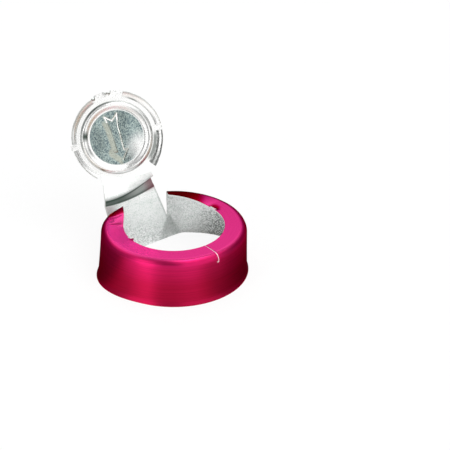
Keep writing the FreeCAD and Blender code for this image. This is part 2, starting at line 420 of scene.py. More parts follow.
# The torn strip and the round panel that hangs on it, in millimetres and degrees
strip = {
    "foot": 8.95,
    "footBend": 1.7,
    "edgeBend": 0.03,
    "rise": 6.8,
    "folds": [             # place in parts of the rise, width, turn, roll, lean, bow, sag, and bend in mm
        ((-0.082, 0.256, 0.641), 1.3, 0.8, 2.0, 16.0, 0.066, 0.081, 0.14),
        ((-0.113, 0.281, 0.794), 1.247, 3.5, 7.5, 19.0, 0.044, 0.096, 0.16),
        ((-0.038, 0.354, 0.929), 1.131, -14.5, 3.5, 28.0, 0.015, 0.044, 0.22),
    ],
    "neckPlace": (-0.036, 0.417, 1.0),
    "neckBend": 0.1,
    "waviness": 0.05,
    "columns": 64,
}
panel = {
    "lean": 26.7,
    "turn": -22.5,
    "roll": 7.5,
    "rim": 5.75,
    "beadRadius": 4.78,
    "beadInner": 0.8,          # the bead falls gently inwards and steeply outwards
    "beadOuter": 0.5,
    "beadHeight": 0.28,
    "dome": 0.2,
    "flangeLand": 0.2,
    "flangeReach": 0.85,
    "flanges": {0: (25.0, -4.0), 2: (40.0, 14.0), 3: (36.0, 14.0)},   # by quarter: tilt and curl
    "waves": [(0.38, 18.0), (0.34, 42.0), (0.28, 16.0)],   # below the right nub: shares and slopes
    "spur": 0.3,               # the torn end below the right nub stands out this much further
    "ragged": 0.05,
    "lipReach": 6.8,
    "lipHalfAngle": 20.0,
    "lipNotches": [(324.0, 0.3), (342.0, 0.34), (359.0, 0.22), (3.0, 0.3)],   # bites: angle and depth
    "nubReach": 6.8,
    "nubHalfAngle": 3.0,
    "slit": 1.0,
    "neckWidth": 7.2,
    "neckLength": 0.25,
    "arrowTurn": -3.0,         # degrees from the lip, clockwise
    "arrowSink": 0.12,         # the arrow stands out on the lacquered side and is sunk on the bare one
    "arrowEdge": 0.22,
    "shoulder": 0.13,          # the sheet round the arrow is drawn in with it
    "shoulderReach": 1.7,
    "dullPatches": [(0.95, 285, 14), (0.3, 256, 18), (0.35, 60, 38), (0.28, 171, 14)],   # painted dark reflections on the bead: depth, middle, reach
    "flatPlace": 100.0,        # both ways to its middle on the flat sheet, clear of ring and strip
}
stripRuns, stripBends = (16, 4, 5, 3, 3), (8, 4, 4, 5, 4)      # rows above the height where the tears stop
firstFold = lowRows + stripBends[0] + stripRuns[0] + stripBends[1] // 2     # rows in the middle of two bends
secondFold = firstFold + stripBends[1] // 2 + stripRuns[1] + stripBends[2] // 2


def sheetFrame(turn, roll, lean):  # directions across, up and out of a piece of the sheet
    t, r, l = (math.radians(a) for a in (turn, roll, lean))
    across = Vector((math.cos(t) * math.cos(r), math.sin(t) * math.cos(r), math.sin(r)))
    up = Vector((-math.sin(t) * math.sin(l), math.cos(t) * math.sin(l), math.cos(l)))
    up = (up - across * up.dot(across)).normalized()
    return across, up, up.cross(across)


tearSide = wallAtTear() * math.cos(math.radians(ring["tearAngle"]))
stripMiddle = Vector((0, tearSide, ring["tearHeight"]))
neckMiddle = stripMiddle + Vector(strip["neckPlace"]) * strip["rise"]
panelAcross, panelUp, panelOut = sheetFrame(panel["turn"], panel["roll"], panel["lean"])
panelMiddle = neckMiddle + panelUp * (panel["rim"] + panel["neckLength"])


def onPanel(x, y, height=0.0):  # panel's own plane: y towards the lip, height towards the bare side
    return panelMiddle + panelAcross * x + panelUp * y - panelOut * height


def stripColumn(angle):  # points up the strip, from the rim to the panel's edge
    u = angle / ring["tearAngle"]
    crown = 1 - u * u
    footSide = tearSide + (strip["foot"] - tearSide) * crown
    foot = Vector((footSide / math.cos(math.radians(angle)), ring["tearHeight"]))
    corners = [place(angle, p) for p in (*lipCorners(angle, foot), foot)]
    cuts = [ring["lipBend"], strip["edgeBend"] + strip["footBend"] * math.sqrt(max(0.0, crown))]
    for at, width, turn, roll, lean, bow, sag, bend in strip["folds"]:
        across, up, out = sheetFrame(turn, roll, lean)
        middle = stripMiddle + Vector(at) * strip["rise"]
        bulge = (out * bow - up * sag) * strip["rise"]
        corners.append(middle + across * (width * strip["rise"] / 2 * u) + bulge * crown)
        cuts.append(bend)
    x = panel["neckWidth"] / 2 * u
    corners.append(neckMiddle + panelAcross * x)
    cuts.append(strip["neckBend"])
    corners.append(onPanel(x, -math.sqrt(panel["rim"] ** 2 - x * x)))
    return bentLine(corners, cuts, lowRuns + stripRuns, (lowBend,) + stripBends)


def foldTone(row, across):  # painted shade in the slack step between the two folds, darkest at each
    if firstFold <= row <= secondFold:
        middle = 0.92 - 0.34 * smoothStep(across, -0.4, 0.5)
        return middle + (1 - middle) * max(hump(row - firstFold, 3), hump(row - secondFold, 3))
    return 0.9 * hump(min(abs(row - firstFold), abs(row - secondFold)), 3)


def toneStrip(number, angle, p, k, row):
    # painted shadow along the torn right edge, below the first fold
    tornLine = 0.45 * smoothStep(k, 62, 64) if row < firstFold else 0
    # painted shade behind the corner at the left, tinged with a painted reflection of the red lacquer
    behindCorner = (1 - smoothStep(k, 4, 20)) * band(row, firstFold - 12, firstFold - 2, 3)
    # painted reflection of the red lacquer at the right end of the step between the folds
    stepEnd = smoothStep(k, 48, 63) * band(row, firstFold - 3, secondFold + 1, 2)
    fold = foldTone(row, angle / ring["tearAngle"])
    # dark specks are set most low on the strip
    setTones(number, crease=max(fold, footShade(angle, p.z), tornLine, 0.25 * behindCorner),
             scuffed=0.4 * (1 - smoothStep(p.z + 0.3 * p.x, 1.6, 5.4)),
             blush=max(0.65 * stepEnd, 0.3 * behindCorner), topShare=smoothStep(row, 20, 40))


stripAngles = [ring["tearAngle"] * (2 * k / strip["columns"] - 1) for k in range(strip["columns"] + 1)]


def weaveStrip():
    columns, uvs = [], []
    for k, a in enumerate(stripAngles):
        line = stripColumn(a)
        uvs.append([(a * arcScale, v) for v in runLengths(line)])
        edge = k in (0, strip["columns"])
        column = []
        if edge:                  # the band under the strip ends in the ring's own ends
            column = (ringColumns[0] if k else ringColumns[-1])[:lowRows]
        for j in range(len(column), len(line)):
            p = line[j]
            if j > lowRows + 6:
                rag = ring["tearRoughness"] * wander(p.z * 1.7, 5.1 + k) if edge else 0.0
                wave = strip["waviness"] * noise.noise(p * 0.55) * hump(j - (lowRows + 16), 12)
                p = p + Vector((rag, wave, 0))
            column.append(addPoint(p))
            toneStrip(column[-1], a, p, k, j)
        levelPoints.add(column[0])
        columns.append(column)
    weave(columns, uvs)
    print("strip woven:", len(faces), "faces")
    return [column[-1] for column in columns]


neckNumbers = weaveStrip()


def arrowOutline():  # a plain direction arrow on the panel, with its fishtail at the lip end
    half, tail, notch, tip, headHalf, headBack = 0.62, 3.36, 2.5, -3.35, 1.08, -2.0
    tailHalf, waist, shaftEnd = 0.98, notch - 0.9, half * 0.8
    right = [(tailHalf, tail), (half, waist), (shaftEnd, headBack), (headHalf, headBack)]
    left = [(-x, y) for x, y in reversed(right)]
    return [(0.0, notch)] + right + [(0.0, tip)] + left


arrow = arrowOutline()


def insideArrow(x, y):  # signed distance to the arrow's outline, positive inside
    best, inside = 9.0, False
    for (x0, y0), (x1, y1) in zip(arrow, arrow[1:] + arrow[:1]):
        dx, dy = x1 - x0, y1 - y0
        t = min(1, max(0, ((x - x0) * dx + (y - y0) * dy) / (dx * dx + dy * dy)))
        best = min(best, math.hypot(x - x0 - t * dx, y - y0 - t * dy))
        if (y0 > y) != (y1 > y) and x < x0 + (y - y0) / (y1 - y0) * dx:
            inside = not inside
    return best if inside else -best


def alongArrow(x, y):
    t = math.radians(panel["arrowTurn"])
    return x * math.cos(t) - y * math.sin(t), x * math.sin(t) + y * math.cos(t)


def arrowPolish(x, y):  # painted highlight along the arrow's edges, and on its left flank
    ax, ay = alongArrow(x, y)
    inside = insideArrow(ax, ay)
    tail = min(1, 1.5 * hump(inside, 0.22))
    shaft = (0.7 if ax < 0 else 1.0) * hump(inside, 0.18)
    flank = 0.78 * band(inside, -0.72, -0.05, 0.12) * smoothStep(-ax, 0.0, 0.4) * (1 - smoothStep(ay, 2.2, 3.0))
    return max(tail if ay > 2.3 else shaft, flank)


discReach = 4.0            # inside the bead


def panelHeight(x, y):
    r = math.hypot(x, y)
    fromBead = r - panel["beadRadius"]
    height = panel["beadHeight"] * hump(fromBead, panel["beadOuter"] if fromBead > 0 else panel["beadInner"])
    height += panel["dome"] * hump(r, panel["beadRadius"] - panel["beadInner"])
    if r < discReach:
        inside = insideArrow(*alongArrow(x, y))
        fade = 1 - smoothStep(r, 3.2, discReach)
        height -= panel["arrowSink"] * smoothStep(inside, -panel["arrowEdge"] / 2, panel["arrowEdge"] / 2)
        height -= panel["shoulder"] * smoothStep(inside, -panel["shoulderReach"], 0.1) * fade
    return height


def panelTone(a, r):  # painted shade in the groove at the bead's foot, painted dark reflections on the bead, a dark line inside it, and darker on the rim at the right
    footDepth = 0.4 + 0.55 * max(hump(a - 330, 100), hump(a + 30, 100)) + 0.2 * wander(a * 0.05, 0, 7)
    foot = footDepth * hump(r - panel["beadRadius"] - 0.36, 0.24)
    patches = sum(depth * hump(a - middle, reach) for depth, middle, reach in panel["dullPatches"])
    innerLine = 0.7 * hump(a - 38, 38) * hump(r - 4.12, 0.12)
    rightRim = 0.7 * band(a, 97, 136, 6) * smoothStep(r, 5.25, 5.45)
    return max(0.0, foot, patches * band(r, 4.3, 4.95, 0.15), innerLine, rightRim)


def neckAngle(stripAngle):  # where a column of the strip meets the panel's edge
    return 180 - math.degrees(math.asin(panel["neckWidth"] / 2 * stripAngle / ring["tearAngle"] / panel["rim"]))


def panelParts():  # start, end, and what stands outside the panel's flat rim there, with a slit beside each
    neckHalf, slit = neckAngle(-ring["tearAngle"]) - 180, panel["slit"]
    lip, nub = panel["lipHalfAngle"], panel["nubHalfAngle"]
    tabs = [(0, lip, "lip"), (90, nub, "nub"), (180, neckHalf, "neck"), (270, nub, "nub"), (360, lip, "lip")]
    parts = [(-lip, lip, "lip")]
    for (last, lastHalf, _), (middle, half, kind) in zip(tabs, tabs[1:]):
        start, end = last + lastHalf, middle - half
        parts += [(start, start + slit, None), (start + slit, end - slit, "flange"), (end - slit, end, None)]
        if middle < 360:
            parts.append((end, middle + half, kind))
    return parts


columnStep = 1.5           # degrees between the panel's columns, and as many as fit evenly in each part


def weaveDisc(parts):  # the panel inside its flat rim; gives back the rim's angles and point numbers
    neckAngles = [neckAngle(a) for a in stripAngles]
    neckLookup = {round(a, 6): n for a, n in zip(neckAngles, neckNumbers)}
    wheel = []
    for start, end, kind in parts:
        count = max(1, round((end - start) / columnStep))
        evenly = [start + (end - start) * i / count for i in range(count)]
        wheel += reversed(neckAngles[1:]) if kind == "neck" else evenly
    radii = [0.115 * i for i in range(1, 34)] + [3.87 + 0.075 * i for i in range(22)] + [5.6]
    radii = [r for r in radii if r < panel["rim"] - 0.05] + [panel["rim"]]
    flat = panel["flatPlace"]
    centre = addPoint(onPanel(0, 0, panelHeight(0, 0)))
    setTones(centre, polished=arrowPolish(0, 0))
    columns, uvColumns = [], []
    for a in wheel:
        sa, ca = math.sin(math.radians(a)), math.cos(math.radians(a))
        column = []
        for r in radii:
            x, y = r * sa, r * ca
            known = neckLookup.get(round(a, 6)) if r == panel["rim"] else None
            column.append(known if known is not None else addPoint(onPanel(x, y, panelHeight(x, y))))
            setTones(column[-1], topShare=1.0, crease=panelTone(a % 360, r))
            if r < discReach:
                setTones(column[-1], polished=arrowPolish(x, y))
        columns.append(column)
        uvColumns.append([(flat + r * sa, flat + r * ca) for r in radii])
    columns.append(columns[0])
    uvColumns.append(uvColumns[0])
    weave(columns, uvColumns)
    for left, right in zip(columns, columns[1:]):
        faces.append((centre, left[0], right[0]))
        faceUvs.append(((flat, flat),) * 3)
        faceMarks.append(lacquerFace)
    return [(a, column[-1]) for a, column in zip(wheel, columns)]


def flangeLine(a, along):  # a bent flange: reach from the axis and height to the bare side
    rim, land = Vector((panel["rim"], 0)), Vector((panel["rim"] + panel["flangeLand"], 0))
    reach = panel["flangeReach"] - 0.05 + panel["ragged"] * wander(a * 0.25, 2.2)
    if 90 < a < 180:
        reach += panel["spur"] * along ** 3
        line = [rim, land]
        for share, slope in panel["waves"]:
            line.append(line[-1] + slopeVector(slope - 8 * along) * reach * share)
        return bentLine(line, [0.12, 0.09, 0.09], (1, 1, 1, 2), [4, 4, 4])
    tilt, curl = panel["flanges"][int(a % 360 // 90)]
    tilt += 4 * wander(a * 0.06, 0, 3)
    waist = land + slopeVector(tilt + curl) * reach * 0.5
    end = waist + slopeVector(tilt - curl) * reach * 0.5
    return bentLine([rim, land, waist, end], [0.15, 0.12], (1, 1, 2), [4, 4])


def tabLine(kind, a):  # the lip or a nub, with its bitten edge curled up
    rim, rows = Vector((panel["rim"], 0)), 9
    bite = sum(depth * hump(turnBetween(a, notch), 2.6) for notch, depth in panel["lipNotches"])
    reach = panel["lipReach" if kind == "lip" else "nubReach"] - 0.04 + panel["ragged"] * wander(a * 0.25, 2.2)
    end = Vector((reach - bite, 0))
    return [rim.lerp(end, t / rows) + Vector((0, bite * (t / rows) ** 3)) for t in range(rows + 1)]


def flangeTone(a, row, along):  # painted shade along the foot and the outer edge; below the right nub painted dark, with a painted highlight streak
    if 90 < a < 180:
        streak = hump(row - 11, 5) * (1 - 0.75 * smoothStep(along, 0.45, 0.8))
        return (0.5 + 0.4 * wander(a * 0.3, row * 0.4, 5)) * (1 - streak)
    depth = 0.7 * hump(a - 36, 13) + 0.1 if a < 90 else 0.25
    return depth * hump(row - 3, 3) + 0.4 * smoothStep(row, 9.5, 12)


def tabTone(a, row):  # marks of the tools and of tearing on the lip and the nubs
    bites = max(hump(turnBetween(a, notch), 3.2) for notch, depth in panel["lipNotches"])
    marks = 0.8 * smoothStep(wander(a * 0.5, row * 0.45, 11), 0.12, 0.5) * smoothStep(row, 1, 4)
    return max(0.9 * bites * smoothStep(row, 5, 8.5), marks * (1 if 60 < a < 300 else 0.3))


def weaveOutskirts(parts, rimPoints):  # lip, nubs and flanges, each on its stretch of the rim
    for start, end, kind in parts:
        if kind in (None, "neck"):
            continue
        count = max(1, round((end - start) / columnStep))
        columns, uvColumns = [], []
        for i in range(count + 1):
            a = start + (end - start) * i / count
            sa, ca = math.sin(math.radians(a)), math.cos(math.radians(a))
            line = flangeLine(a, i / count) if kind == "flange" else tabLine(kind, a)
            rimNumber = min(rimPoints, key=lambda spot: abs(turnBetween(spot[0], a)))[1]
            column = [rimNumber] + [addPoint(onPanel(p.x * sa, p.x * ca, p.y)) for p in line[1:]]
            for j, n in enumerate(column[1:], 1):
                setTones(n, crease=flangeTone(a, j, i / count) if kind == "flange" else tabTone(a, j))
            columns.append(column)
            uvColumns.append([(panel["flatPlace"] + p.x * sa, panel["flatPlace"] + p.x * ca) for p in line])
        weave(columns, uvColumns)
    print("panel woven:", len(faces), "faces")


allParts = panelParts()
weaveOutskirts(allParts, weaveDisc(allParts))


# Two skins from the middle surface, closed along every cut edge
def skinPoints():  # where the lacquered and the bare skin lie, in metres
    normals = [Vector() for _ in points]
    for face in faces:
        a, b, c, d = (points[n] for n in (face[0], face[1], face[-1], face[2]))
        normal = (d - a).cross(c - b) if len(face) == 4 else (b - a).cross(c - a)
        for n in face:
            normals[n] += normal
    half = ring["thickness"] / 2
    outer, inner = [], []
    for n, p in enumerate(points):
        out = normals[n].normalized()
        a, b = p + out * (half + outerPush.get(n, 0.0)), p - out * half
        if n in levelPoints:
            a.z = b.z = 0.0
        outer.append(a * mm)
        inner.append(b * mm)
    return outer + inner


def openEdges():  # edges of the middle surface that only one face uses
    uses = {}
    for face in faces:
        for a, b in zip(face, face[1:] + face[:1]):
            uses.setdefault(frozenset((a, b)), []).append((a, b))
    return [edge[0] for edge in uses.values() if len(edge) == 1]


def toneMesh(mesh, cutEdges):  # point tones, and the distance to the nearest cut edge in millimetres
    tree = KDTree(len(cutEdges))
    for i, (a, b) in enumerate(cutEdges):
        tree.insert((points[a] + points[b]) / 2, i)
    tree.balance()
    layers = {"fromEdge": [tree.find(p)[2] for p in points]}
    for name, table in tones.items():
        layers[name] = [table.get(n, 0.0) for n in range(len(points))]
    for name, values in layers.items():
        mesh.attributes.new(name, "FLOAT", "POINT").data.foreach_set("value", values + values)


def flatLayout(mesh, cutEdges):  # the sheet laid flat, in millimetres, with the cut edges side by side
    flat = [uv for uvs in faceUvs for uv in uvs] + [uv for uvs in faceUvs for uv in reversed(uvs)]
    side = ring["thickness"]
    for i in range(len(cutEdges)):
        left, right = i * side, (i + 1) * side
        flat += [(left, 0.0), (right, 0.0), (right, side), (left, side)]
    layer = mesh.uv_layers.new(name="flatSheet")
    layer.data.foreach_set("uv", [value for uv in flat for value in uv])


def makeSheet():
    cutEdges = openEdges()
    count = len(points)
    skinFaces = faces + [tuple(n + count for n in reversed(face)) for face in faces]
    skinFaces += [(b, a, a + count, b + count) for a, b in cutEdges]
    mesh = bpy.data.meshes.new("sealSheet")
    mesh.from_pydata(skinPoints(), [], skinFaces)
    toneMesh(mesh, cutEdges)
    flatLayout(mesh, cutEdges)
    marks = faceMarks + [bareFace] * len(faces) + [edgeFace] * len(cutEdges)
    mesh.polygons.foreach_set("material_index", marks)
    mesh.polygons.foreach_set("use_smooth", [True] * len(marks))
    mesh.update()
    mesh.set_sharp_from_angle(angle=math.radians(48))
    sheet = bpy.data.objects.new("seal_sheet", mesh)
    scene.collection.objects.link(sheet)
    print("sheet made:", len(skinFaces), "faces,", sum(len(face) - 2 for face in skinFaces), "triangles")
    return sheet


seal = makeSheet()


# Drawn aluminium under a baked tinted lacquer
lacquer = {
    # the flat top is lighter and pinker than the wall: partly its own tint, partly painted light
    "top": "#f04a96",
    "skirt": "#cf1c52",
    # painted highlight: the upper skirt is lighter and pinker
    "upperSkirt": "#ea2672",
    "skirtHeights": (3.0, 6.2),    # mm, where the painted highlight on the upper skirt starts and where it is brightest
    "strained": "#c41040",     # painted shade: the deeper red beside the tears and round the dimple
    "deep": "#8c0a2c",
    "creased": "#70001a",      # painted shade in the folds, creases and dents, and tool marks
    "worn": "#e6c9cf",         # rubbed thin at the cut edges
    "wornReach": (0.08, 0.14),
    "edgeTint": "#c05a78",
    "roughness": 0.17,
    "wallRoughness": 0.38,     # the drawn wall, lined round and round, spreads light up and down
    "lineStretch": 0.8,
    "drawLine": 0.16,      # mm between draw lines; real ones are finer, drawn coarse enough to show
    "lineLength": 11.11,   # mm
    "speckle": 0.1923,     # mm, grain of the lacquer, drawn coarse enough to show
    "cloud": 3.846,        # mm, slow changes of gloss
    "relief": 0.02,        # mm
}


def lacquerTint(tree, spot, topShare):  # painted highlight growing up the wall, and painted shade: a deeper red beside the tears and round the dimple
    strain = addNode(tree, "ShaderNodeAttribute", {"attribute_name": "strained"})
    height = addNode(tree, "ShaderNodeSeparateXYZ", links={"Vector": spot})
    low, high = lacquer["skirtHeights"]
    upperShare = addNode(tree, "ShaderNodeMapRange", links={
        "Value": height.outputs["Z"], "From Min": low * mm, "From Max": high * mm})
    wall = addNode(tree, "ShaderNodeMix", colourMix, {
        0: upperShare.outputs["Result"], 6: hexColour(lacquer["skirt"]), 7: hexColour(lacquer["upperSkirt"])})
    level = addNode(tree, "ShaderNodeMix", colourMix, {
        0: topShare, 6: wall.outputs[2], 7: hexColour(lacquer["top"])})
    tint = addNode(tree, "ShaderNodeMix", colourMix, {
        0: strain.outputs["Fac"], 6: level.outputs[2], 7: hexColour(lacquer["strained"])})
    return tint.outputs[2]


def lacquerWear(tree, colour, speckle):  # painted shade in the folds, creases and dents, rubbed through at the cut edges
    edge = addNode(tree, "ShaderNodeAttribute", {"attribute_name": "fromEdge"})
    crease = addNode(tree, "ShaderNodeAttribute", {"attribute_name": "crease"})
    creased = addNode(tree, "ShaderNodeMix", colourMix, {
        0: crease.outputs["Fac"], 6: colour, 7: hexColour(lacquer["creased"])})
    chips = addNode(tree, "ShaderNodeMath", multiplyAdd, {0: speckle, 1: 0.22, 2: edge.outputs["Fac"]})
    low, high = lacquer["wornReach"]
    wear = addNode(tree, "ShaderNodeMapRange", links={
        "Value": chips.outputs["Value"], "From Min": low, "From Max": high, "To Min": 0.6, "To Max": 0.0})
    worn = addNode(tree, "ShaderNodeMix", colourMix, {
        0: wear.outputs["Result"], 6: creased.outputs[2], 7: hexColour(lacquer["worn"])})
    return worn.outputs[2]


def lacqueredAluminium():  # to the eye a deep satin red, with fine lines round the drawn wall
    material, tree = newMaterial("lacqueredDrawnAluminium")
    spot = addNode(tree, "ShaderNodeTexCoord").outputs["Object"]
    flatMap = addNode(tree, "ShaderNodeUVMap", {"uv_map": "flatSheet"})
    topShare = addNode(tree, "ShaderNodeAttribute", {"attribute_name": "topShare"}).outputs["Fac"]
    lineSpace = addNode(tree, "ShaderNodeMapping", links={
        "Vector": flatMap.outputs["UV"], "Scale": (1 / lacquer["lineLength"], 1 / lacquer["drawLine"], 1)})
    lines = addNode(tree, "ShaderNodeTexNoise", links={
        "Vector": lineSpace.outputs["Vector"], "Scale": 1.0, "Detail": 3.0, "Roughness": 0.6})
    speckle = addNode(tree, "ShaderNodeTexNoise", links={
        "Vector": spot, "Scale": 1 / (lacquer["speckle"] * mm), "Detail": 2.0})
    cloud = addNode(tree, "ShaderNodeTexNoise", links={
        "Vector": spot, "Scale": 1 / (lacquer["cloud"] * mm), "Detail": 2.0})
    lineMost = addNode(tree, "ShaderNodeMapRange", links={"Value": topShare, "To Min": 0.34, "To Max": 0.10})
    lineShare = addNode(tree, "ShaderNodeMapRange", links={
        "Value": lines.outputs["Fac"], "From Min": 0.40, "From Max": 0.75,
        "To Max": lineMost.outputs["Result"]})
    lined = addNode(tree, "ShaderNodeMix", colourMix, {
        0: lineShare.outputs["Result"], 6: lacquerTint(tree, spot, topShare), 7: hexColour(lacquer["deep"])})
    colour = lacquerWear(tree, lined.outputs[2], speckle.outputs["Fac"])
    wallShare = addNode(tree, "ShaderNodeMath", {"operation": "SUBTRACT"}, {0: 1.0, 1: topShare})
    dullness = addNode(tree, "ShaderNodeMapRange", links={
        "Value": wallShare.outputs["Value"],
        "To Min": lacquer["roughness"], "To Max": lacquer["wallRoughness"]})
    rough = addNode(tree, "ShaderNodeMath", multiplyAdd, {
        0: cloud.outputs["Fac"], 1: 0.06, 2: dullness.outputs["Result"]})
    stretch = addNode(tree, "ShaderNodeMath", multiply, {
        0: wallShare.outputs["Value"], 1: lacquer["lineStretch"]})
    relief = addNode(tree, "ShaderNodeMath", multiplyAdd, {
        0: speckle.outputs["Fac"], 1: 0.35, 2: lines.outputs["Fac"]})
    bump = addNode(tree, "ShaderNodeBump", links={
        "Height": relief.outputs["Value"], "Strength": 0.35, "Distance": lacquer["relief"] * mm})
    roundWall = addNode(tree, "ShaderNodeTangent", {"direction_type": "RADIAL", "axis": "Z"})
    shader = addNode(tree, "ShaderNodeBsdfPrincipled", links={
        "Base Color": colour, "Metallic": 1.0, "Roughness": rough.outputs["Value"],
        "Anisotropic": stretch.outputs["Value"], "Anisotropic Rotation": 0.25, "Normal": bump.outputs["Normal"],
        "Tangent": roundWall.outputs["Tangent"], "Specular Tint": hexColour(lacquer["edgeTint"])})
    addNode(tree, "ShaderNodeOutputMaterial", links={"Surface": shader.outputs["BSDF"]})
    return material


# Rolled aluminium with no lacquer
bare = {
    "light": "#ffffff",
    "dark": "#bccac2",
    "roughness": 0.23,
    "wallRoughness": 0.34,
    "wallMetallic": 0.38,  # the rubbed inside of the wall scatters more than it mirrors
    "grain": 0.12,         # mm, the matte grain of rolled stock
    "blotch": 1.111,       # mm
    "drawLine": 0.14,      # mm, coarser than the real ones, as on the lacquer
    "lineLength": 8.333,   # mm
    "panelReach": 9.0,     # mm from the panel's middle on the flat sheet
    "peened": "#5e7179",   # hollows of the panel's matted middle
    "peenedHigh": "#b4c4c0",
    "peenPitch": 0.115,    # mm between pits, drawn coarse enough to show
    "peenRadius": 3.98,
    "lightPatch": (3.5, -2.4),     # mm from the panel's middle: a painted highlight, where the matting fades out
    "lightPatchReach": (0.7, 3.3),
    "rubbed": "#bcbfb2",   # painted highlight on the arrow's left flank
    "scuffed": "#333c3a",
    "scuffPitch": 0.145,   # mm between dark specks
    "creased": "#2c4136",  # painted shade in the strip's sharp folds and the other creases, and tool marks
    # painted reflection of the red lacquer
    "blush": "#7a2a44",
    "relief": 0.03,        # mm
}


def satinColour(tree, flat, grain, blotch, panelShare):  # rolled grain, with draw lines on ring and strip
    share = addNode(tree, "ShaderNodeMath", multiplyAdd, {0: blotch, 1: 0.25, 2: grain})
    lineSpace = addNode(tree, "ShaderNodeMapping", links={
        "Vector": flat, "Scale": (1 / bare["lineLength"], 1 / bare["drawLine"], 1)})
    lines = addNode(tree, "ShaderNodeTexNoise", links={
        "Vector": lineSpace.outputs["Vector"], "Scale": 1.0, "Detail": 2.0})
    lineMost = addNode(tree, "ShaderNodeMapRange", links={"Value": panelShare, "To Min": 0.25, "To Max": 0.0})
    lined = addNode(tree, "ShaderNodeMath", multiplyAdd, {
        0: lines.outputs["Fac"], 1: lineMost.outputs["Result"], 2: share.outputs["Value"]})
    mostDull = addNode(tree, "ShaderNodeMapRange", links={"Value": panelShare, "To Min": 1.0, "To Max": 0.25})
    dull = addNode(tree, "ShaderNodeMapRange", links={
        "Value": lined.outputs["Value"], "From Min": 0.68, "From Max": 1.05,
        "To Max": mostDull.outputs["Result"]})
    satin = addNode(tree, "ShaderNodeMix", colourMix, {
        0: dull.outputs["Result"], 6: hexColour(bare["light"]), 7: hexColour(bare["dark"])})
    return satin.outputs[2]


def mattedColour(tree, flat, satin, pits, peenMask):  # the middle, peened by the die, with a painted highlight where the peening fades out
    pitTone = addNode(tree, "ShaderNodeSeparateColor", links={"Color": pits.outputs["Color"]})
    pitShare = addNode(tree, "ShaderNodeMapRange", links={
        "Value": pitTone.outputs["Red"], "From Min": 0.1, "From Max": 0.7})
    peened = addNode(tree, "ShaderNodeMix", colourMix, {
        0: pitShare.outputs["Result"], 6: hexColour(bare["peened"]), 7: hexColour(bare["peenedHigh"])})
    patch = [panel["flatPlace"] + offset for offset in bare["lightPatch"]] + [0.0]
    near, far = bare["lightPatchReach"]
    fromPatch = addNode(tree, "ShaderNodeVectorMath", {"operation": "DISTANCE"}, {0: flat, 1: patch})
    patchShare = addNode(tree, "ShaderNodeMapRange", {"interpolation_type": "SMOOTHSTEP"}, {
        "Value": fromPatch.outputs["Value"], "From Min": near, "From Max": far, "To Min": 0.1, "To Max": 1.0})
    peenShare = addNode(tree, "ShaderNodeMath", multiply, {0: peenMask, 1: patchShare.outputs["Result"]})
    matted = addNode(tree, "ShaderNodeMix", colourMix, {
        0: peenShare.outputs["Value"], 6: satin, 7: peened.outputs[2]})
    return matted.outputs[2]


def markedColour(tree, colour, polish, polishPart):  # painted highlights on the arrow's edges and flank, painted shade and tool marks, and a painted reflection of the red lacquer
    polishTone = addNode(tree, "ShaderNodeMix", colourMix, {
        0: polishPart, 6: hexColour(bare["rubbed"]), 7: hexColour(bare["light"])})
    crease = addNode(tree, "ShaderNodeAttribute", {"attribute_name": "crease"})
    red = addNode(tree, "ShaderNodeAttribute", {"attribute_name": "blush"})
    edged = addNode(tree, "ShaderNodeMix", colourMix, {0: polish, 6: colour, 7: polishTone.outputs[2]})
    creased = addNode(tree, "ShaderNodeMix", colourMix, {
        0: crease.outputs["Fac"], 6: edged.outputs[2], 7: hexColour(bare["creased"])})
    blushed = addNode(tree, "ShaderNodeMix", colourMix, {
        0: red.outputs["Fac"], 6: creased.outputs[2], 7: hexColour(bare["blush"])})
    return blushed.outputs[2]


def scuffedColour(tree, colour, spot):  # dark specks, densest low on the inside wall at the right and low on the strip
    scuffs = addNode(tree, "ShaderNodeTexVoronoi", links={
        "Vector": spot, "Scale": 1 / (bare["scuffPitch"] * mm)})
    cell = addNode(tree, "ShaderNodeSeparateColor", links={"Color": scuffs.outputs["Color"]})
    speck = addNode(tree, "ShaderNodeMapRange", links={
        "Value": cell.outputs["Red"], "From Min": 0.2, "From Max": 0.9})
    zone = addNode(tree, "ShaderNodeAttribute", {"attribute_name": "scuffed"})
    share = addNode(tree, "ShaderNodeMath", multiply, {0: speck.outputs["Result"], 1: zone.outputs["Fac"]})
    scuffed = addNode(tree, "ShaderNodeMix", colourMix, {
        0: share.outputs["Value"], 6: colour, 7: hexColour(bare["scuffed"])})
    return scuffed.outputs[2]


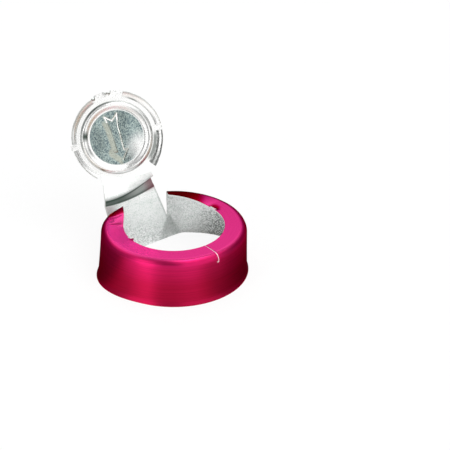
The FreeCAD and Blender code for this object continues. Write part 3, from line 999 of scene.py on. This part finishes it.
def bareAluminium():  # to the eye pale and satin with a fine grain, matted grey in the panel's middle
    material, tree = newMaterial("bareRolledAluminium")
    spot = addNode(tree, "ShaderNodeTexCoord").outputs["Object"]
    flat = addNode(tree, "ShaderNodeUVMap", {"uv_map": "flatSheet"}).outputs["UV"]
    grain = addNode(tree, "ShaderNodeTexNoise", links={
        "Vector": spot, "Scale": 1 / (bare["grain"] * mm), "Detail": 2.0, "Roughness": 0.6})
    blotch = addNode(tree, "ShaderNodeTexNoise", links={
        "Vector": spot, "Scale": 1 / (bare["blotch"] * mm), "Detail": 3.0, "Roughness": 0.6})
    fromMiddle = addNode(tree, "ShaderNodeVectorMath", {"operation": "DISTANCE"}, {
        0: flat, 1: (panel["flatPlace"], panel["flatPlace"], 0.0)})
    isPanel = addNode(tree, "ShaderNodeMath", {"operation": "LESS_THAN"}, {
        0: fromMiddle.outputs["Value"], 1: bare["panelReach"]})
    panelShare = isPanel.outputs["Value"]      # 1 on the panel, 0 on ring and strip
    peenMask = addNode(tree, "ShaderNodeMapRange", links={
        "Value": fromMiddle.outputs["Value"], "To Min": 1.0, "To Max": 0.0,
        "From Min": bare["peenRadius"] - 0.1, "From Max": bare["peenRadius"]})
    pits = addNode(tree, "ShaderNodeTexVoronoi", links={"Vector": flat, "Scale": 1 / bare["peenPitch"]})
    polish = addNode(tree, "ShaderNodeAttribute", {"attribute_name": "polished"})
    polishPart = addNode(tree, "ShaderNodeMapRange", links={
        "Value": polish.outputs["Fac"], "From Min": 0.8, "From Max": 0.92})
    satin = satinColour(tree, flat, grain.outputs["Fac"], blotch.outputs["Fac"], panelShare)
    matted = mattedColour(tree, flat, satin, pits, peenMask.outputs["Result"])
    marked = markedColour(tree, matted, polish.outputs["Fac"], polishPart.outputs["Result"])
    metal = addNode(tree, "ShaderNodeMapRange", links={
        "Value": panelShare, "To Min": bare["wallMetallic"], "To Max": 1.0})
    dullness = addNode(tree, "ShaderNodeMapRange", links={
        "Value": panelShare, "To Min": bare["wallRoughness"], "To Max": bare["roughness"]})
    rubbedMetal = addNode(tree, "ShaderNodeMath", multiplyAdd, {
        0: polishPart.outputs["Result"], 1: -0.5, 2: metal.outputs["Result"]})
    rough = addNode(tree, "ShaderNodeMath", multiplyAdd, {
        0: blotch.outputs["Fac"], 1: 0.08, 2: dullness.outputs["Result"]})
    peenHeight = addNode(tree, "ShaderNodeMath", multiply, {
        0: pits.outputs["Distance"], 1: peenMask.outputs["Result"]})
    relief = addNode(tree, "ShaderNodeMath", multiplyAdd, {
        0: peenHeight.outputs["Value"], 1: 0.8, 2: grain.outputs["Fac"]})
    bump = addNode(tree, "ShaderNodeBump", links={
        "Height": relief.outputs["Value"], "Strength": 0.5, "Distance": bare["relief"] * mm})
    shader = addNode(tree, "ShaderNodeBsdfPrincipled", links={
        "Base Color": scuffedColour(tree, marked, spot), "Metallic": rubbedMetal.outputs["Value"],
        "Roughness": rough.outputs["Value"], "Normal": bump.outputs["Normal"]})
    addNode(tree, "ShaderNodeOutputMaterial", links={"Surface": shader.outputs["BSDF"]})
    return material


# The sheet's cut and torn edges, and where the lacquer is cut through
sheared = {
    "bright": "#fbfcfb",
    "dull": "#bcc3c0",
    "metallic": 0.4,
    "roughness": 0.3,
    "markWidth": 0.143,    # mm, small tear marks across the edge
    "markLength": 0.667,   # mm
    "relief": 0.02,        # mm
}
cut = {
    "pale": "#fbe3ec",
    "tinted": "#f0a9c4",
    "metallic": 0.4,
    "roughness": 0.35,
    "fleck": 0.1667,       # mm
}


def shearedEdge():  # to the eye bright fresh metal with small tear marks across
    material, tree = newMaterial("shearedAluminiumEdge")
    flatMap = addNode(tree, "ShaderNodeUVMap", {"uv_map": "flatSheet"})
    marksSpace = addNode(tree, "ShaderNodeMapping", links={
        "Vector": flatMap.outputs["UV"], "Scale": (1 / sheared["markWidth"], 1 / sheared["markLength"], 1)})
    marks = addNode(tree, "ShaderNodeTexNoise", links={
        "Vector": marksSpace.outputs["Vector"], "Scale": 1.0, "Detail": 2.0})
    colour = addNode(tree, "ShaderNodeMix", colourMix, {
        0: marks.outputs["Fac"], 6: hexColour(sheared["bright"]), 7: hexColour(sheared["dull"])})
    bump = addNode(tree, "ShaderNodeBump", links={
        "Height": marks.outputs["Fac"], "Strength": 0.5, "Distance": sheared["relief"] * mm})
    shader = addNode(tree, "ShaderNodeBsdfPrincipled", links={
        "Base Color": colour.outputs[2], "Metallic": sheared["metallic"], "Roughness": sheared["roughness"],
        "Normal": bump.outputs["Normal"]})
    addNode(tree, "ShaderNodeOutputMaterial", links={"Surface": shader.outputs["BSDF"]})
    return material


def cutThrough():  # to the eye pale metal with a blush of the tint left in it
    material, tree = newMaterial("cutThroughAluminium")
    spot = addNode(tree, "ShaderNodeTexCoord").outputs["Object"]
    flecks = addNode(tree, "ShaderNodeTexNoise", links={
        "Vector": spot, "Scale": 1 / (cut["fleck"] * mm), "Detail": 2.0})
    colour = addNode(tree, "ShaderNodeMix", colourMix, {
        0: flecks.outputs["Fac"], 6: hexColour(cut["pale"]), 7: hexColour(cut["tinted"])})
    shader = addNode(tree, "ShaderNodeBsdfPrincipled", links={
        "Base Color": colour.outputs[2], "Metallic": cut["metallic"], "Roughness": cut["roughness"]})
    addNode(tree, "ShaderNodeOutputMaterial", links={"Surface": shader.outputs["BSDF"]})
    return material


for material in (lacqueredAluminium(), bareAluminium(), shearedEdge(), cutThrough()):
    seal.data.materials.append(material)
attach(seal, "root")
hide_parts("vial_seal")
print("finishes on")


# Floor, reflectors, lamps and camera
studio = {
    "floor": "#fbfcfc",
    "floorFibre": "#efefef",
    "fibre": 1.111,         # mm
    "floorSize": 1.6,
    "floorGlow": 0.88,      # share of the card shown overexposed; the rest keeps the shadow
    "worldTint": "#f4f6f6",
    "fill": 0.62,
    "cameraAzimuth": 218.0,
    "cameraElevation": 30.0,
    "cameraPlace": (-196.93, -263.76, 197.16),    # mm
    "lens": 214.3,
    "tentRadius": 0.3,
    "tentRings": 24,
    "tentColumns": 96,
    "tentPatches": [        # painted bright patches in reflections: level; from, to and softness in degrees right of the camera; the same upwards
        (1.25, -64, -36, 6, 8, 58, 5),
        (1.2, 10, 76, 6, 8, 58, 5),
        (1.55, 66, 124, 8, 42, 62, 4),
        (1.2, -158, -92, 10, 34, 70, 5),
    ],
    "drapeRings": (0.5, 3, 4.5, 6, 7.5, 9, 11.2, 14, 17, 20, 24, 32, 60, 120, 280),      # mm from the axis
    "drapeColumns": 96,
    "drapeHeight": 0.1,     # mm
    "lamps": [              # name, azimuth, elevation, distance, size in metres, watts, seen in reflections
        ("overhead_softbox", 30, 66, 0.6, (0.5, 0.5), 0.9, False),
        ("front_softbox", 176, 48, 0.6, (0.5, 0.5), 2.2, False),
        ("strip_light", 260, 10, 0.5, (0.10, 0.4), 1.0, True),
    ],
}


def seenRays(tree):  # 1 where the camera sees a thing itself, or in a reflection, or through glass
    rays = addNode(tree, "ShaderNodeLightPath")
    seen = addNode(tree, "ShaderNodeMath", {"operation": "MAXIMUM"}, {
        0: rays.outputs["Is Camera Ray"], 1: rays.outputs["Is Glossy Ray"]})
    shown = addNode(tree, "ShaderNodeMath", {"operation": "MAXIMUM"}, {
        0: seen.outputs["Value"], 1: rays.outputs["Is Transmission Ray"]})
    return shown.outputs["Value"]


def makeFloor():
    size = studio["floorSize"]
    floorMesh = bpy.data.meshes.new("floor")
    corners = [(-size, -size, 0), (size, -size, 0), (size, size, 0), (-size, size, 0)]
    floorMesh.from_pydata(corners, [], [(0, 1, 2, 3)])
    floor = bpy.data.objects.new("floor", floorMesh)
    scene.collection.objects.link(floor)
    material, tree = newMaterial("matteCard")
    spot = addNode(tree, "ShaderNodeTexCoord").outputs["Object"]
    fibre = addNode(tree, "ShaderNodeTexNoise", links={"Vector": spot, "Scale": 1 / (studio["fibre"] * mm)})
    colour = addNode(tree, "ShaderNodeMix", colourMix, {
        0: fibre.outputs["Fac"], 6: hexColour(studio["floor"]), 7: hexColour(studio["floorFibre"])})
    shader = addNode(tree, "ShaderNodeBsdfDiffuse", links={"Color": colour.outputs[2]})
    white = addNode(tree, "ShaderNodeEmission", links={"Color": hexColour("#ffffff"), "Strength": 1.0})
    share = addNode(tree, "ShaderNodeMath", multiply, {0: seenRays(tree), 1: studio["floorGlow"]})
    mixed = addNode(tree, "ShaderNodeMixShader", links={
        0: share.outputs["Value"], 1: shader.outputs["BSDF"], 2: white.outputs["Emission"]})
    addNode(tree, "ShaderNodeOutputMaterial", links={"Surface": mixed.outputs["Shader"]})
    floorMesh.materials.append(material)


def tentLevel(a, elevation):  # painted brightness of the glowing dome that only reflections see: degrees to the right of the camera, and up
    behind = smoothStep(abs(a), 128, 165)
    beside = smoothStep(abs(a), 72, 84) * (1 - smoothStep(elevation, 38, 60))
    back = 0.16 + 0.92 * smoothStep(elevation, 15, 36) * (1 - 0.8 * smoothStep(elevation, 50, 62))
    around = (0.42 - 0.18 * beside) * (1 - behind) + back * behind
    around += (0.12 - around) * band(a, -31, 6, 5) * band(elevation, 15, 54, 4)      # painted dark reflection at the camera
    horizon = 0.95 * (1 - smoothStep(elevation, 9, 15)) * (1 - smoothStep(abs(a), 34, 52))
    patches = [level * band(a, left, right, softSides) * band(elevation, low, high, softEnds)
               for level, left, right, softSides, low, high, softEnds in studio["tentPatches"]]
    level = max(around, horizon, *patches)
    rearTop = 1.4 * smoothStep(abs(a), 120, 150) * smoothStep(elevation, 72, 80)
    overhead = 0.35 + 3.3 * band(a, 16, 140, 12) + rearTop
    return level + (overhead - level) * smoothStep(elevation, 62, 70)


def drapeShade(r, angle):  # painted reflection of the floor, colour and cover: pale in front with a painted highlight to the left, dark at both sides, and a dark sheet inside the ring where the floor lies in shade
    side = turnBetween(studio["cameraAzimuth"], angle)
    near = 1 - smoothStep(r, 12, 28)
    cover = 1.0
    level = 0.82 - 0.24 * near + 0.44 * hump(side + 41, 32) * (1 - 0.95 * near) + 0.06 * hump(side - 24, 36)
    level -= (1 - smoothStep(r, 20, 60)) * (0.2 * hump(side + 44, 22) + 0.24 * hump(side - 44, 20))
    level *= 1 - 0.82 * smoothStep(-side, 54, 76)
    level *= 1 - 0.86 * smoothStep(side, 16, 78) * (0.55 + 0.45 * near)
    if r < 10:
        level = 0.02
        cover = 0.75 * band(angle, 45, 150, 14) * smoothStep(r, 4.5, 7.5)
    level += 0.2 * smoothStep(r, 32, 60) * (1 - smoothStep(abs(side), 45, 70))
    cool = 0.45 + 0.5 * smoothStep(level, 0.35, 1.0)
    return level, level * (1 + cool) / 2, level * cool, cover


def makeReflector(name, spots, around, shades, material):  # rings of points, toned, that only reflections see
    quads = []
    for first in range(0, len(spots) - around, around):
        for k in range(around):
            n = (k + 1) % around
            quads.append((first + k, first + n, first + around + n, first + around + k))
    reflectorMesh = bpy.data.meshes.new(name)
    reflectorMesh.from_pydata(spots, [], quads)
    layer = reflectorMesh.color_attributes.new("shade", "FLOAT_COLOR", "POINT")
    layer.data.foreach_set("color", [v for shade in shades for v in shade])
    reflectorMesh.materials.append(material)
    reflector = bpy.data.objects.new(name, reflectorMesh)
    reflector.visible_camera = False
    reflector.visible_diffuse = False
    reflector.visible_shadow = False
    reflector.visible_transmission = False
    scene.collection.objects.link(reflector)


def makeTent():  # a glowing dome that only reflections see, its brightness painted in patches as by a studio's lamps and dark gaps: painted reflections
    around, ringsUp = studio["tentColumns"], studio["tentRings"]
    spots, shades = [], []
    for i in range(ringsUp + 1):
        elevation = 90 * i / ringsUp
        for k in range(around):
            azimuth = 360 * k / around
            level = tentLevel(turnBetween(studio["cameraAzimuth"], azimuth), elevation)
            spots.append(direction(azimuth, elevation) * studio["tentRadius"])
            shades.append((level, level, level * 0.99, 1.0))
    material, tree = newMaterial("reflectorCloth")
    shade = addNode(tree, "ShaderNodeVertexColor", {"layer_name": "shade"})
    glow = addNode(tree, "ShaderNodeEmission", links={"Color": shade.outputs["Color"]})
    addNode(tree, "ShaderNodeOutputMaterial", links={"Surface": glow.outputs["Emission"]})
    makeReflector("reflector_tent", spots, around, shades, material)


def makeDrapes():  # a glowing sheet on the floor round the seal that only reflections see, painted to give the wall its pale front, its highlight and its dark sides
    around = studio["drapeColumns"]
    spots, shades = [], []
    for r in studio["drapeRings"]:
        for k in range(around):
            angle = 360 * k / around
            spots.append((direction(angle, 0) * r + Vector((0, 0, studio["drapeHeight"]))) * mm)
            shades.append(drapeShade(r, angle))
    material, tree = newMaterial("gradedDrape")
    shade = addNode(tree, "ShaderNodeVertexColor", {"layer_name": "shade"})
    clear = addNode(tree, "ShaderNodeBsdfTransparent")
    cloth = addNode(tree, "ShaderNodeEmission", links={"Color": shade.outputs["Color"], "Strength": 1.0})
    mixed = addNode(tree, "ShaderNodeMixShader", links={
        0: shade.outputs["Alpha"], 1: clear.outputs["BSDF"], 2: cloth.outputs["Emission"]})
    addNode(tree, "ShaderNodeOutputMaterial", links={"Surface": mixed.outputs["Shader"]})
    makeReflector("side_drapes", spots, around, shades, material)


def makeLamp(name, azimuth, elevation, distance, size, power, mirrored):
    data = bpy.data.lights.new(name, "AREA")
    data.shape = "RECTANGLE"
    data.size, data.size_y = size
    data.energy = power
    lamp = bpy.data.objects.new(name, data)
    lamp.location = direction(azimuth, elevation) * distance
    lamp.rotation_euler = (-lamp.location).to_track_quat("-Z", "Y").to_euler()
    lamp.visible_glossy = mirrored
    scene.collection.objects.link(lamp)


def makeWorld():
    world = bpy.data.worlds.new("studio")
    world.use_nodes = True
    tree = world.node_tree
    tree.nodes.clear()
    fill = addNode(tree, "ShaderNodeBackground", links={
        "Color": hexColour(studio["worldTint"]), "Strength": studio["fill"]})
    white = addNode(tree, "ShaderNodeBackground", links={"Color": hexColour("#ffffff"), "Strength": 1.0})
    mixed = addNode(tree, "ShaderNodeMixShader", links={
        0: seenRays(tree), 1: fill.outputs["Background"], 2: white.outputs["Background"]})
    addNode(tree, "ShaderNodeOutputWorld", links={"Surface": mixed.outputs["Shader"]})
    scene.world = world


def makeCamera():
    data = bpy.data.cameras.new("photo")
    data.sensor_width = 36
    data.lens = studio["lens"]
    data.clip_start, data.clip_end = 0.01, 10
    camera = bpy.data.objects.new("photo", data)
    back = direction(studio["cameraAzimuth"], studio["cameraElevation"])
    camera.location = Vector(studio["cameraPlace"]) * mm
    camera.rotation_euler = (-back).to_track_quat("-Z", "Y").to_euler()
    scene.collection.objects.link(camera)
    scene.camera = camera


makeFloor()
makeTent()
makeDrapes()
makeWorld()
for lamp in studio["lamps"]:
    makeLamp(*lamp)
makeCamera()
print("studio ready")
